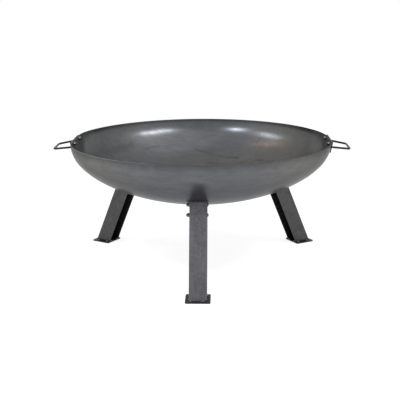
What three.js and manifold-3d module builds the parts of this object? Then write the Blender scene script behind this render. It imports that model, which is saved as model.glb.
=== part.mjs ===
// Fire bowl on three legs.
//
// A dished steel bowl stands on three splayed legs. Each leg is a channel folded from sheet and
// open towards the bowl's axis. It fits over a smaller channel that is welded under the bowl, and
// two cross bolts hold it there. A flat foot plate is welded under each leg. A bent-rod handle
// sits on each side of the rim: the rod is welded to a flat plate, and the plate is bolted
// through a flat that is pressed in the wall. Nothing on it moves.
//
// Frame: millimetres, +Z up. The origin is on the ground, straight below the middle of the
// bowl. The front leg points to -Y, and the handles point to +X and -X.

import * as THREE from 'three';
import { mergeVertices } from 'three/addons/utils/BufferGeometryUtils.js';
import Module from 'manifold-3d';

// ---------------------------------------------------------------- driving dimensions

const fitGap = 0.3; // clearance between two pieces that touch

// Bowl. The outside of its wall is a superellipse, (r / radius)^rimPower + (drop / depth)^dropPower = 1,
// and inside dishEdge its bottom is a shallow dish of one radius that carries the curve on.
const bowlRadius = 400; // outside, at the rim
const bowlDepth = 189; // of the superellipse; the dish ends a few millimetres short of it
const dishEdge = 180; // distance from the axis
const rimHeight = 381; // rim above the ground
const bowlWall = 2.5;
const rimPower = 1.71;
const dropPower = 2;
const bowlSides = 72; // a multiple of 12, so that a leg always meets the same facets
const bowlRows = 18; // from the rim to the bottom
const flatReach = { left: 388.5, right: 393 }; // bowl axis to the outside of each pressed flat, at the rim
const flatLean = THREE.MathUtils.degToRad(12); // the flats lean as the wall round them does, foot inwards

// Legs, folded from sheet. Their angles are turned from +X about +Z.
const legAngles = { front: -90, right: 30, left: 150 };
const legWidth = 50; // across its outer face, and across each of its sides
const legWall = 3;
const legCorner = 5; // outside radius of its two folds
const legSplay = THREE.MathUtils.degToRad(24.2); // from the vertical
const legFootRadius = 376; // where the middle line of a leg meets the ground
const legLength = 272; // ground to the bowl's skin, along the leg's middle line
const trimAllowance = 30; // spare length at each end, before the ends are cut to shape

const footPlateWide = 70; // across the leg
const footPlateLong = 66; // in line with the leg
const footPlateThick = 4;
const footPlateChamfer = 3;
const footPlateRadius = 377.5; // bowl axis to the middle of the plate

const bracketWall = 3;
const bracketLength = 58; // how far it reaches into the leg, below the bowl's skin
const bracketBoltHeights = { upper: 241, lower: 214.5 }; // on the leg's middle line

// Handles, of round rod. Drops are measured down from the rim.
const handleAngles = { right: 0, left: Math.PI };
const rodRadius = 3.25;
const handleReach = { left: 446, right: 451 }; // bowl axis to the middle of the outer bar
const handleRootSpan = 128; // between the rod's two ends, at the plate
const handleGripSpan = 86; // between the corners of the outer bar
const handleRootDrop = 13.6;
const handleGripDrop = 23.3;
const handleBend = 10; // how far each corner starts before the two straights would meet

const handlePlateWide = 140;
const handlePlateTall = 33;
const handlePlateThick = 3;
const handlePlateCorner = 3;
const handlePlateRise = { left: 1, right: 2 }; // top edge of the plate above the rim
const handleBoltSpan = 96;
const handleBoltDrop = 8;

// M6 fasteners: button-head bolts, hexagon nuts and plain washers.
const boltRadius = 3;
const boltHoleRadius = 3.4;
const boltHeadRadius = 5.25;
const boltHeadHeight = 3.3;
const socketAcrossFlats = 4;
const socketDepth = 2;
const nutAcrossFlats = 10;
const nutHeight = 5;
const washerRadius = 6;
const washerThick = 1.6;
const threadBeyondNut = 2.6;
const boltHeadEdge = 0.6; // height of the head's rim, below its dome

// Facets.
const roundSides = 16; // of bolts, washers and bolt holes
const domeSteps = 4; // of a bolt's head, from its rim to its top
const cornerSteps = 3; // of each rounded corner
const rodSteps = 48; // along a handle's rod
const rodHalfSides = 6; // round half of the rod

// ---------------------------------------------------------------- materials

const steel = (color, roughness) => new THREE.MeshStandardMaterial({ color, roughness, metalness: 0.85 });

const finishes = {
  bowl: steel(0x636463, 0.42),
  leg: steel(0x5c5c61, 0.5),
  foot: steel(0x454547, 0.55),
  bracket: steel(0x4c4c4e, 0.55),
  rod: steel(0x47484a, 0.5),
  handlePlate: steel(0x4f5051, 0.5),
  fastener: steel(0xb4b6b8, 0.3),
};

// ---------------------------------------------------------------- solids

const wasm = await Module();
wasm.setup();

/** Turns a closed geometry into a solid: shared corners are merged and slivers at poles dropped. */
function toSolid(geometry) {
  const bare = geometry.clone();
  bare.deleteAttribute('normal');
  bare.deleteAttribute('uv');
  const welded = mergeVertices(bare);
  const corners = welded.index.array;
  const kept = [];
  for (let i = 0; i < corners.length; i += 3) {
    const [a, b, c] = corners.slice(i, i + 3);
    if (a !== b && b !== c && c !== a) {
      kept.push(a, b, c);
    }
  }
  return new wasm.Manifold(
    new wasm.Mesh({
      numProp: 3,
      vertProperties: new Float32Array(welded.attributes.position.array),
      triVerts: new Uint32Array(kept),
    }),
  );
}

/** Turns a solid back into a geometry. */
function toGeometry(solid) {
  const mesh = solid.getMesh();
  const geometry = new THREE.BufferGeometry();
  geometry.setAttribute('position', new THREE.BufferAttribute(mesh.vertProperties, 3));
  geometry.setIndex(new THREE.BufferAttribute(mesh.triVerts, 1));
  geometry.computeVertexNormals();
  return geometry;
}

/** Cuts every tool out of a geometry. */
function cut(geometry, ...tools) {
  const solid = tools.reduce((left, tool) => left.subtract(toSolid(tool)), toSolid(geometry));
  return toGeometry(solid);
}

/** A mesh under the name that its piece goes by. */
function piece(name, geometry, material) {
  const mesh = new THREE.Mesh(geometry, material);
  mesh.name = name;
  return mesh;
}

/** A rectangle centred on the origin with its corners rounded, or cut straight across. */
function softRectangle(width, height, corner, straight = false) {
  const x = width / 2;
  const y = height / 2;
  const outline = new THREE.Shape();
  const turns = [
    { at: [x, -y], from: [x - corner, -y], to: [x, -y + corner] },
    { at: [x, y], from: [x, y - corner], to: [x - corner, y] },
    { at: [-x, y], from: [-x + corner, y], to: [-x, y - corner] },
    { at: [-x, -y], from: [-x, -y + corner], to: [-x + corner, -y] },
  ];
  outline.moveTo(-x + corner, -y);
  for (const { at, from, to } of turns) {
    outline.lineTo(...from);
    if (straight) {
      outline.lineTo(...to);
    } else {
      outline.quadraticCurveTo(...at, ...to);
    }
  }
  return outline;
}

/** An upright prism on z = 0: a round bar with many sides, or a hexagon with six. */
function prism(radius, height, sides) {
  const bar = new THREE.CylinderGeometry(radius, radius, height, sides);
  bar.rotateX(Math.PI / 2);
  bar.translate(0, 0, height / 2);
  return bar;
}

/** A solid of revolution about +Z from a closed outline of (radius, height) points. */
function turned(outline, sides) {
  const body = new THREE.LatheGeometry(outline, sides);
  body.rotateX(Math.PI / 2);
  return body;
}

// ---------------------------------------------------------------- bowl

/** A point of the wall's outer curve: turn is 0 at the rim and grows to a quarter turn at the axis. */
function wallPoint(turn) {
  const radius = bowlRadius * Math.cos(turn) ** (2 / rimPower);
  const drop = bowlDepth * Math.sin(turn) ** (2 / dropPower);
  return new THREE.Vector2(radius, rimHeight - drop);
}

/** The direction that points square out of the wall at the same place. */
function wallNormal(turn) {
  const nudge = 1e-4;
  const along = wallPoint(turn + nudge).sub(wallPoint(turn - nudge));
  return new THREE.Vector2(-along.y, along.x).normalize();
}

const quarter = Math.PI / 2;
const dishTurn = Math.acos((dishEdge / bowlRadius) ** (rimPower / 2));
const dishLean = Math.atan2(wallNormal(dishTurn).x, -wallNormal(dishTurn).y);
const dishRadius = dishEdge / Math.sin(dishLean);
const dishCentre = new THREE.Vector2(0, wallPoint(dishTurn).y + dishRadius * Math.cos(dishLean));

/** A point at the given distance outside the bowl's outer skin, or inside it if that is negative. */
function skinPoint(turn, offset) {
  if (turn <= dishTurn) {
    return wallPoint(turn).addScaledVector(wallNormal(turn), offset);
  }
  const lean = (dishLean * (quarter - turn)) / (quarter - dishTurn);
  const outward = new THREE.Vector2(Math.sin(lean), -Math.cos(lean));
  return outward.multiplyScalar(dishRadius + offset).add(dishCentre);
}

/** The bowl's skin from the rim to the axis. */
function skinOutline(offset) {
  return Array.from({ length: bowlRows + 1 }, (_, row) => skinPoint((quarter * row) / bowlRows, offset));
}

/** Distance from the bowl's axis to a handle's pressed flat at a height, or to a face parallel to it. */
function flatFace(name, height, offset = 0) {
  return flatReach[name] - (rimHeight - height) * Math.tan(flatLean) + offset / Math.cos(flatLean);
}

/** Presses the wall flat on both sides, where the handle plates bear on it. */
function pressFlats(body) {
  const position = body.attributes.position;
  const rowsOutside = bowlRows + 1;
  for (let i = 0; i < position.count; i += 1) {
    const x = position.getX(i);
    const offset = i % (2 * rowsOutside) < rowsOutside ? 0 : -bowlWall;
    const face = flatFace(x < 0 ? 'left' : 'right', position.getZ(i), offset);
    position.setX(i, Math.sign(x) * Math.min(Math.abs(x), face));
  }
}

/** Leans a piece that was made against the Y-Z plane back onto a handle's flat, at the rim. */
function leanOntoFlat(geometry, name) {
  geometry.rotateY(flatLean);
  geometry.translate(flatReach[name], 0, rimHeight);
  return geometry;
}

/** A bar through the wall for each bolt of a handle, made for the handle at +X. */
function handleBoltHoles(name) {
  return [-1, 1].map((end) => {
    const reach = 4 * handlePlateThick;
    const hole = prism(boltHoleRadius, 2 * reach, roundSides);
    hole.rotateY(Math.PI / 2);
    hole.translate(-reach, (end * handleBoltSpan) / 2, -handleBoltDrop);
    return leanOntoFlat(hole, name);
  });
}

function makeBowl() {
  const outside = skinOutline(0).reverse();
  const inside = skinOutline(-bowlWall);
  const body = turned([...outside, ...inside], bowlSides);
  pressFlats(body);
  const holes = Object.entries(handleAngles).flatMap(([name, angle]) =>
    handleBoltHoles(name).map((hole) => hole.rotateZ(angle)),
  );
  return piece('bowl', cut(body, ...holes), finishes.bowl);
}

/** All that lies inside the bowl's outer skin, with the fit gap around it. It trims the legs. */
function bowlTrimmer() {
  const skin = skinOutline(fitGap).reverse();
  return turned([...skin, new THREE.Vector2(0, rimHeight)], bowlSides);
}

// ---------------------------------------------------------------- fasteners

/** A button-head bolt with a hexagon socket. Its head rests on z = 0, and its shank runs to -Z. */
function boltGeometry(shankLength) {
  const outline = [
    new THREE.Vector2(0, -shankLength),
    new THREE.Vector2(boltRadius, -shankLength),
    new THREE.Vector2(boltRadius, 0),
    new THREE.Vector2(boltHeadRadius, 0),
  ];
  const domeHeight = boltHeadHeight - boltHeadEdge;
  for (let step = 0; step <= domeSteps; step += 1) {
    const turn = ((step / domeSteps) * Math.PI) / 2;
    const radius = step === domeSteps ? 0 : boltHeadRadius * Math.cos(turn);
    outline.push(new THREE.Vector2(radius, boltHeadEdge + domeHeight * Math.sin(turn)));
  }
  const socket = prism(socketAcrossFlats / Math.sqrt(3), 2 * socketDepth, 6);
  socket.translate(0, 0, boltHeadHeight - socketDepth);
  return cut(turned(outline, roundSides), socket);
}

/** A washer or nut: a prism from z = 0 up, with a bolt hole through it. */
function drilledPrism(radius, height, sides) {
  const hole = prism(boltHoleRadius, 3 * height, roundSides);
  hole.translate(0, 0, -height);
  return cut(prism(radius, height, sides), hole);
}

const nutGeometry = drilledPrism(nutAcrossFlats / Math.sqrt(3), nutHeight, 6);
const washerGeometry = drilledPrism(washerRadius, washerThick, roundSides);

/** A bolt, washer and nut on the Z axis, clamping what lies between z = 0 and z = -clamped. */
function boltedJoint(name, clamped) {
  const washerFace = -clamped - fitGap - washerThick;
  const nutFace = washerFace - fitGap - nutHeight;
  const bolt = piece(`${name}_bolt`, boltGeometry(fitGap - nutFace + threadBeyondNut), finishes.fastener);
  const washer = piece(`${name}_washer`, washerGeometry, finishes.fastener);
  const nut = piece(`${name}_nut`, nutGeometry, finishes.fastener);
  bolt.position.z = fitGap;
  washer.position.z = washerFace;
  nut.position.z = nutFace;
  const joint = new THREE.Group();
  joint.add(bolt, washer, nut);
  return joint;
}

// ---------------------------------------------------------------- legs
// Everything here is made for a leg that points to +X. A station group turns it into place.

/** Leans a piece that stands on the origin along +Z over onto the leg's middle line. */
function leanOntoLeg(geometry) {
  geometry.rotateY(-legSplay);
  geometry.translate(legFootRadius, 0, 0);
  return geometry;
}

/** A bar across the leg for each of its bolts. */
function legBoltHoles() {
  return Object.values(bracketBoltHeights).map((height) => {
    const hole = prism(boltHoleRadius, 2 * legWidth, roundSides);
    hole.rotateX(Math.PI / 2);
    hole.translate(legFootRadius - height * Math.tan(legSplay), legWidth, height);
    return hole;
  });
}

/** A leg's section: its back is at +X with a rounded fold at each end, and it is open at -X. */
function legSection() {
  const half = legWidth / 2;
  const inner = half - legWall;
  const fold = half - legCorner;
  const section = new THREE.Shape();
  section.moveTo(-half, -half);
  section.lineTo(fold, -half);
  section.quadraticCurveTo(half, -half, half, -fold);
  section.lineTo(half, fold);
  section.quadraticCurveTo(half, half, fold, half);
  section.lineTo(-half, half);
  section.lineTo(-half, inner);
  section.lineTo(fold, inner);
  section.quadraticCurveTo(inner, inner, inner, fold);
  section.lineTo(inner, -fold);
  section.quadraticCurveTo(inner, -inner, fold, -inner);
  section.lineTo(-half, -inner);
  return section;
}

function legGeometry() {
  const stock = new THREE.ExtrudeGeometry(legSection(), {
    depth: legLength + 2 * trimAllowance,
    bevelEnabled: false,
    curveSegments: cornerSteps,
  });
  stock.translate(0, 0, -trimAllowance);
  const belowPlateTop = new THREE.BoxGeometry(4 * legWidth, 4 * legWidth, 2 * legWidth);
  belowPlateTop.translate(legFootRadius, 0, footPlateThick + fitGap - legWidth);
  return cut(leanOntoLeg(stock), belowPlateTop, bowlTrimmer(), ...legBoltHoles());
}

/** A channel with its back to the outside of the leg and its two cheeks beside the cross bolts. */
function bracketGeometry() {
  const outer = legWidth / 2 - legWall - fitGap;
  const inner = outer - bracketWall;
  const channel = new THREE.Shape();
  channel.moveTo(-inner, -outer);
  channel.lineTo(inner, -outer);
  channel.lineTo(outer, -inner);
  channel.lineTo(outer, inner);
  channel.lineTo(inner, outer);
  channel.lineTo(-inner, outer);
  channel.lineTo(-inner, inner);
  channel.lineTo(inner, inner);
  channel.lineTo(inner, -inner);
  channel.lineTo(-inner, -inner);
  const stock = new THREE.ExtrudeGeometry(channel, {
    depth: bracketLength + trimAllowance,
    bevelEnabled: false,
  });
  stock.translate(0, 0, legLength - bracketLength);
  return cut(leanOntoLeg(stock), bowlTrimmer(), ...legBoltHoles());
}

function footPlateGeometry() {
  const outline = softRectangle(footPlateLong, footPlateWide, footPlateChamfer, true);
  return new THREE.ExtrudeGeometry(outline, { depth: footPlateThick, bevelEnabled: false });
}

function makeLegStation(name, angle) {
  const station = new THREE.Group();
  station.rotation.z = THREE.MathUtils.degToRad(angle);
  const plate = piece(`foot_plate_${name}`, footPlateGeometry(), finishes.foot);
  plate.position.x = footPlateRadius;
  station.add(plate);
  station.add(piece(`leg_${name}`, legGeometry(), finishes.leg));
  station.add(piece(`leg_bracket_${name}`, bracketGeometry(), finishes.bracket));
  for (const [level, height] of Object.entries(bracketBoltHeights)) {
    const joint = boltedJoint(`leg_${name}_${level}`, legWidth);
    joint.rotation.x = -Math.PI / 2;
    joint.position.set(legFootRadius - height * Math.tan(legSplay), legWidth / 2, height);
    station.add(joint);
  }
  return station;
}

// ---------------------------------------------------------------- handles
// Everything here is made for the handle at +X. The other one is the same, turned half round.

/** The middle line of the rod: out from the plate, across, and back, with rounded corners. */
function rodPath(name) {
  const inside = 2 * handlePlateThick; // the ends start inside the plate and are trimmed to its face
  const rootHeight = rimHeight - handleRootDrop;
  const rootReach = flatFace(name, rootHeight, fitGap + handlePlateThick) - inside;
  const root = new THREE.Vector3(rootReach, handleRootSpan / 2, rootHeight);
  const grip = new THREE.Vector3(handleReach[name], handleGripSpan / 2, rimHeight - handleGripDrop);
  const flip = (point) => new THREE.Vector3(point.x, -point.y, point.z);
  const before = grip.clone().add(root.clone().sub(grip).setLength(handleBend));
  const after = new THREE.Vector3(grip.x, grip.y - handleBend, grip.z);
  const path = new THREE.CurvePath();
  path.add(new THREE.LineCurve3(root, before));
  path.add(new THREE.QuadraticBezierCurve3(before, grip, after));
  path.add(new THREE.LineCurve3(after, flip(after)));
  path.add(new THREE.QuadraticBezierCurve3(flip(after), flip(grip), flip(before)));
  path.add(new THREE.LineCurve3(flip(before), flip(root)));
  return path;
}

function rodGeometry(name) {
  const section = new THREE.Shape();
  section.absarc(0, 0, rodRadius, 0, 2 * Math.PI);
  const rod = new THREE.ExtrudeGeometry(section, {
    extrudePath: rodPath(name),
    steps: rodSteps,
    curveSegments: rodHalfSides,
  });
  const inboard = new THREE.BoxGeometry(2 * handlePlateTall, 2 * handlePlateWide, 4 * handlePlateTall);
  inboard.translate(handlePlateThick + 2 * fitGap - handlePlateTall, 0, 0);
  return cut(rod, leanOntoFlat(inboard, name));
}

function handlePlateGeometry(name) {
  const outline = softRectangle(handlePlateTall, handlePlateWide, handlePlateCorner);
  const plate = new THREE.ExtrudeGeometry(outline, {
    depth: handlePlateThick,
    bevelEnabled: false,
    curveSegments: cornerSteps,
  });
  plate.rotateY(Math.PI / 2);
  plate.translate(fitGap, 0, handlePlateRise[name] - handlePlateTall / 2);
  return cut(leanOntoFlat(plate, name), ...handleBoltHoles(name));
}

function makeHandle(name, angle) {
  const handle = new THREE.Group();
  handle.rotation.z = angle;
  handle.add(piece(`handle_${name}_rod`, rodGeometry(name), finishes.rod));
  handle.add(piece(`handle_${name}_plate`, handlePlateGeometry(name), finishes.handlePlate));
  const mount = new THREE.Group();
  mount.position.set(flatReach[name], 0, rimHeight);
  mount.rotation.y = flatLean;
  handle.add(mount);
  const towardsBack = Math.cos(angle); // +Y of the handle's own frame, seen in the whole object's
  for (const [end, side] of Object.entries({ front: -towardsBack, back: towardsBack })) {
    const clamped = handlePlateThick + fitGap + bowlWall;
    const joint = boltedJoint(`handle_${name}_${end}`, clamped);
    joint.rotation.y = Math.PI / 2;
    joint.position.set(fitGap + handlePlateThick, (side * handleBoltSpan) / 2, -handleBoltDrop);
    mount.add(joint);
  }
  return handle;
}

// ---------------------------------------------------------------- assembly

const fireBowl = new THREE.Group();
fireBowl.add(makeBowl());
for (const [name, angle] of Object.entries(legAngles)) {
  fireBowl.add(makeLegStation(name, angle));
}
for (const [name, angle] of Object.entries(handleAngles)) {
  fireBowl.add(makeHandle(name, angle));
}

export default fireBowl;
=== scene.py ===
"""Dresses the fire bowl: an oiled raw steel bowl on three channel legs, with a rod handle on each side.

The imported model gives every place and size. Each sub-assembly is a class that models its pieces
round that frame, and each finish is a frozen dataclass that builds one material.
Lengths are in metres, +Z is up, and the origin is on the ground below the middle of the bowl.
"""

import logging
import math
from collections.abc import Callable, Iterator, Sequence
from contextlib import contextmanager
from dataclasses import dataclass, field
from enum import Enum

import bmesh
import bpy
from mathutils import Matrix, Vector


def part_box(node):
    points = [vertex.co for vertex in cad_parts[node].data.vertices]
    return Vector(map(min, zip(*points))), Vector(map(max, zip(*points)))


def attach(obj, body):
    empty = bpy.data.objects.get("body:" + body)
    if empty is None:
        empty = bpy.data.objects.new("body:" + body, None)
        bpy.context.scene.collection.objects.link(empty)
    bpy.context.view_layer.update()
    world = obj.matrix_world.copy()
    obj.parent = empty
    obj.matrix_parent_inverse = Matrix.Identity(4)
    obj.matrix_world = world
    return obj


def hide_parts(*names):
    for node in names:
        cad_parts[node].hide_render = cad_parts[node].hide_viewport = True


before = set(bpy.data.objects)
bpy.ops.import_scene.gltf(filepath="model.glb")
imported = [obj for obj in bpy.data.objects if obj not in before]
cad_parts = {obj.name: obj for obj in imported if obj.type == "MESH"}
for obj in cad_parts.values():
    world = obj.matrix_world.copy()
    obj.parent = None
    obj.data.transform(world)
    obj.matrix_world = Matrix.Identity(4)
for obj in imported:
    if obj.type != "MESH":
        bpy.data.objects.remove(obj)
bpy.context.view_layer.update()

log = logging.getLogger("fire_bowl")

MM = 0.001
BODY = "root"
QUARTER_TURN = math.pi / 2
HANDLE_ANGLES = {"right": 0, "left": 180}
RIM_HEIGHT = 381 * MM
FIT_GAP = 0.3 * MM  # between pieces that touch
BOLT_HOLE = 3.4 * MM  # radius of the holes for the bolts
DOUBLES = 0.005 * MM  # points closer than this are one
SHARP_TURN = math.radians(50)
ALONG = 0.9  # a direction with more than this share of an axis runs along it
ACROSS = 0.5  # and one with less than this share runs across it

Piece = bpy.types.Object
Socket = bpy.types.NodeSocket
Given = bpy.types.NodeOutputs
Feed = float | tuple[float, ...] | Socket
Triple = tuple[float, float, float]
Span = tuple[float, float]


# ---------------------------------------------------------------- workbench


class Kind(Enum):
    """The kinds of mesh element that can be selected."""

    POINTS = "VERT"
    EDGES = "EDGE"
    FACES = "FACE"


class Keep(Enum):
    """The part of a piece that a cut keeps."""

    OUTSIDE = "DIFFERENCE"
    INSIDE = "INTERSECT"


def deselect() -> None:
    """Deselects everything, because an operator acts on all that is selected."""
    bpy.ops.object.select_all(action="DESELECT")


def only(piece: Piece) -> None:
    """Makes a piece the one selected and active object.

    Args:
        piece: the object.
    """
    deselect()
    piece.select_set(True)
    bpy.context.view_layer.objects.active = piece


@contextmanager
def editing(piece: Piece, kind: Kind, everything: bool = False) -> Iterator[None]:
    """Puts a piece in edit mode, and leaves edit mode at the end.

    Args:
        piece: the object to edit.
        kind: the kind of element that will be selected.
        everything: whether the whole piece starts selected, or nothing.
    """
    only(piece)
    bpy.ops.object.mode_set(mode="EDIT")
    bpy.ops.mesh.select_mode(type=kind.value)
    bpy.ops.mesh.select_all(action="SELECT" if everything else "DESELECT")
    yield
    bpy.ops.object.mode_set(mode="OBJECT")


def pick(piece: Piece, kind: Kind, wanted: Callable[..., bool]) -> None:
    """Selects, in edit mode, the elements that a test holds for, and deselects the rest.

    Args:
        piece: the object in edit mode.
        kind: points, edges or faces.
        wanted: a test of one bmesh element.
    """
    shape = bmesh.from_edit_mesh(piece.data)
    for element in (*shape.verts, *shape.edges, *shape.faces):
        element.select_set(False)
    elements = {Kind.POINTS: shape.verts, Kind.EDGES: shape.edges, Kind.FACES: shape.faces}[kind]
    for element in [element for element in elements if wanted(element)]:
        element.select_set(True)
    bmesh.update_edit_mesh(piece.data)


def middle(edge: bmesh.types.BMEdge) -> Vector:
    """The middle of an edge."""
    return (edge.verts[0].co + edge.verts[1].co) / 2


def along(edge: bmesh.types.BMEdge) -> Vector:
    """The direction of an edge."""
    return (edge.verts[1].co - edge.verts[0].co).normalized()


def sharp_edge(edge: bmesh.types.BMEdge) -> bool:
    """Whether two faces meet at an edge and turn sharply there."""
    return len(edge.link_faces) == 2 and edge.calc_face_angle(0) > SHARP_TURN


def extrude(way: Vector | Triple) -> None:
    """Extrudes what is selected in edit mode."""
    bpy.ops.mesh.extrude_region_move(TRANSFORM_OT_translate={"value": way})


def applied(piece: Piece) -> Piece:
    """Puts a piece's place, turn and size into its mesh.

    Args:
        piece: the object.

    Returns:
        The same object.
    """
    only(piece)
    bpy.ops.object.transform_apply(location=True, rotation=True, scale=True)
    return piece


def fresh(name: str) -> Piece:
    """Names the primitive that was just added, with its place and size put into its mesh.

    Args:
        name: the piece's name.

    Returns:
        The piece.
    """
    piece = bpy.context.active_object
    piece.name = piece.data.name = name
    return applied(piece)


def block(name: str, centre: Triple, size: Triple) -> Piece:
    """A block.

    Args:
        name: its name.
        centre: its middle.
        size: its sizes along X, Y and Z.

    Returns:
        The block.
    """
    deselect()
    bpy.ops.mesh.primitive_cube_add(size=1.0, location=centre, scale=size)
    return fresh(name)


def cylinder(name: str, sides: int, radius: float, depth: float, height: float = 0.0) -> Piece:
    """An upright cylinder on the Z axis.

    Args:
        name: its name.
        sides: how many sides it has.
        radius: to its corners.
        depth: its length.
        height: the height of its middle.

    Returns:
        The cylinder.
    """
    deselect()
    bpy.ops.mesh.primitive_cylinder_add(
        vertices=sides, radius=radius, depth=depth, location=(0, 0, height)
    )
    return fresh(name)


def circle(
    name: str, sides: int, radius: float, centre: Triple | Vector, filled: bool = True, **turn: object
) -> Piece:
    """A circle, as an open ring of edges or as one face.

    Args:
        name: its name.
        sides: how many points go round it.
        radius: to its points.
        centre: its middle.
        filled: whether it is a face.
        turn: its rotation, where it doesn't lie level.

    Returns:
        The circle.
    """
    deselect()
    fill = "NGON" if filled else "NOTHING"
    bpy.ops.mesh.primitive_circle_add(
        vertices=sides, radius=radius, location=centre, fill_type=fill, **turn
    )
    return fresh(name)


def placed(piece: Piece, place: Matrix) -> Piece:
    """Moves a piece's mesh to its place, so that its object stays at the origin."""
    piece.matrix_world = place
    return applied(piece)


def copied(pattern: Piece, name: str, place: Matrix) -> Piece:
    """A copy of a piece with a mesh of its own, in its own place.

    Args:
        pattern: the object to copy.
        name: the copy's name.
        place: the move and turn that the copy's mesh gets.

    Returns:
        The copy.
    """
    copy = pattern.copy()
    copy.data = pattern.data.copy()
    copy.name = copy.data.name = name
    bpy.context.scene.collection.objects.link(copy)
    return placed(copy, place)


def scrap(*pieces: Piece) -> None:
    """Removes patterns and cutting tools that aren't part of the object."""
    for piece in pieces:
        bpy.data.objects.remove(piece)


def modified(piece: Piece, kind: str, **settings: object) -> None:
    """Adds a modifier to a piece and applies it.

    Args:
        piece: the object.
        kind: the modifier's type.
        settings: the modifier's settings.
    """
    only(piece)
    bpy.ops.object.modifier_add(type=kind)
    modifier = piece.modifiers[-1]
    for setting, value in settings.items():
        setattr(modifier, setting, value)
    bpy.ops.object.modifier_apply(modifier=modifier.name)


def cut(piece: Piece, tool: Piece, keep: Keep = Keep.OUTSIDE) -> None:
    """Cuts one piece with another by a boolean, and removes the tool.

    Args:
        piece: the object that is cut.
        tool: the object that cuts it.
        keep: whether what lies outside or inside the tool is kept.
    """
    modified(piece, "BOOLEAN", object=tool, operation=keep.value, solver="EXACT")
    scrap(tool)


def trim(piece: Piece, point: Triple, way: Triple) -> None:
    """Cuts a piece off at a plane and closes the cut.

    Args:
        piece: the object.
        point: a point of the plane.
        way: square to the plane, towards what is kept.
    """
    with editing(piece, Kind.POINTS, everything=True):
        bpy.ops.mesh.bisect(plane_co=point, plane_no=way, clear_inner=True, use_fill=True)


def joined(name: str, pieces: Sequence[Piece]) -> Piece:
    """Joins several pieces into one object of a given name.

    Args:
        name: the joined object's name.
        pieces: the objects to join.

    Returns:
        The joined object.
    """
    only(pieces[0])
    for piece in pieces[1:]:
        piece.select_set(True)
    bpy.ops.object.join()
    pieces[0].name = pieces[0].data.name = name
    return pieces[0]


def outward(piece: Piece) -> None:
    """Merges a piece's doubled points and turns its faces outwards.

    Args:
        piece: the object.
    """
    with editing(piece, Kind.POINTS, everything=True):
        bpy.ops.mesh.remove_doubles(threshold=DOUBLES)
        bpy.ops.mesh.normals_make_consistent(inside=False)


def smooth(piece: Piece, degrees: float = 30) -> None:
    """Shades a piece smooth, but for the edges that turn by more than an angle."""
    only(piece)
    bpy.ops.object.shade_smooth_by_angle(angle=math.radians(degrees))


def bevel(piece: Piece, width: float, steps: int, wanted: Callable[..., bool]) -> None:
    """Rounds the edges that a test holds for.

    Args:
        piece: the object.
        width: how far the bevel reaches on each side.
        steps: how many faces the round gets.
        wanted: a test of one bmesh edge.
    """
    with editing(piece, Kind.EDGES):
        pick(piece, Kind.EDGES, wanted)
        bpy.ops.mesh.bevel(offset=width, segments=steps, affect="EDGES", clamp_overlap=True)


def coated(piece: Piece, finish: bpy.types.Material) -> None:
    """Gives a piece one material and no other."""
    piece.data.materials.clear()
    piece.data.materials.append(finish)


def dressed(
    piece: Piece, finish: bpy.types.Material, replaces: Sequence[str] = ()
) -> None:
    """Gives a finished piece its material and hands it to the frame.

    Args:
        piece: the object.
        finish: its material.
        replaces: the CAD nodes that it stands for.
    """
    coated(piece, finish)
    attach(piece, BODY)
    if replaces:
        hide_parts(*replaces)
    log.info("%s: %d faces, %s", piece.name, len(piece.data.polygons), finish.name)


def moved(x: float, y: float, z: float) -> Matrix:
    """A move."""
    return Matrix.Translation((x, y, z))


def turned(degrees: float) -> Matrix:
    """A turn about the bowl's axis."""
    return Matrix.Rotation(math.radians(degrees), 4, "Z")


def about_x(angle: float) -> Matrix:
    """A turn in radians about the X axis."""
    return Matrix.Rotation(angle, 4, "X")


def about_y(angle: float) -> Matrix:
    """A turn in radians about the Y axis."""
    return Matrix.Rotation(angle, 4, "Y")


# ---------------------------------------------------------------- bowl


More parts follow.
